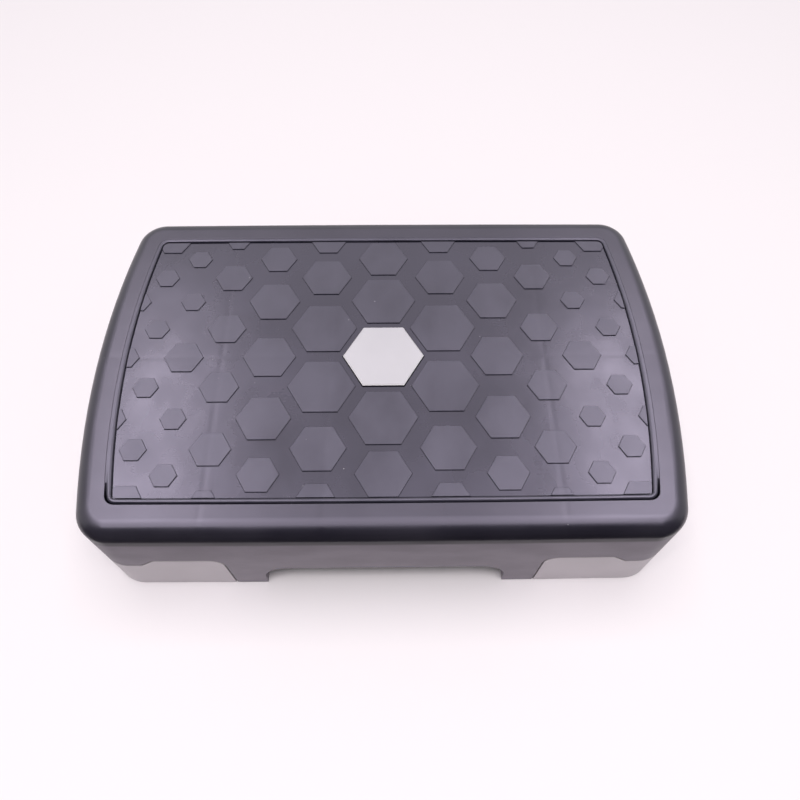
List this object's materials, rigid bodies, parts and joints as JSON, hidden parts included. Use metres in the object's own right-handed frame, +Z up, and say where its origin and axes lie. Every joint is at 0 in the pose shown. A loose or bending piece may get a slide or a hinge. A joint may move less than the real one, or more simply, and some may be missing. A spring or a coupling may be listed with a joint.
{
  "type": "aerobic step platform",
  "caption": "Low moulded exercise step with a honeycomb grip tread, a rounded rim, arched sides and a fold-out leg at each end that raises it.",
  "frame": {"origin": "on the floor under the middle of the tread, with both legs folded", "axes": "+X along the length towards the right leg, +Y towards the rear, +Z up"},
  "size_m": [0.43, 0.28, 0.1],
  "materials": {
    "deck_plastic": "satin moulded plastic, dark charcoal",
    "mat_plastic": "satin moulded inlay, dark charcoal",
    "badge_plastic": "fine matte, pale grey",
    "leg_plastic": "satin moulded plastic, mid grey",
    "pin_steel": "drawn and zinc plated",
    "clip_steel": "sprung steel, dull",
    "pad_rubber": "matte"
  },
  "bodies": {
    "deck": {"deck_shell": "deck_plastic", "tread_mat": "mat_plastic", "centre_badge": "badge_plastic", "left_front_hinge_pin": "pin_steel", "left_rear_hinge_pin": "pin_steel", "right_front_hinge_pin": "pin_steel", "right_rear_hinge_pin": "pin_steel", "left_front_pin_clip": "clip_steel", "left_rear_pin_clip": "clip_steel", "right_front_pin_clip": "clip_steel", "right_rear_pin_clip": "clip_steel", "left_front_deck_foot_pad": "pad_rubber", "left_rear_deck_foot_pad": "pad_rubber", "right_front_deck_foot_pad": "pad_rubber", "right_rear_deck_foot_pad": "pad_rubber"},
    "left_leg": {"left_leg": "leg_plastic", "left_front_leg_base_pad": "pad_rubber", "left_rear_leg_base_pad": "pad_rubber", "left_front_leg_sole_pad": "pad_rubber", "left_rear_leg_sole_pad": "pad_rubber"},
    "right_leg": {"right_leg": "leg_plastic", "right_front_leg_base_pad": "pad_rubber", "right_rear_leg_base_pad": "pad_rubber", "right_front_leg_sole_pad": "pad_rubber", "right_rear_leg_sole_pad": "pad_rubber"}
  },
  "joints": [
    {"name": "left_leg_fold", "type": "hinge", "parent": "deck", "child": "left_leg", "pos_m": [-0.197, 0, 0.045], "axis": [0, 1, 0], "range_deg": [0, 90]},
    {"name": "right_leg_fold", "type": "hinge", "parent": "deck", "child": "right_leg", "pos_m": [0.197, 0, 0.045], "axis": [0, -1, 0], "range_deg": [0, 90]}
  ]
}
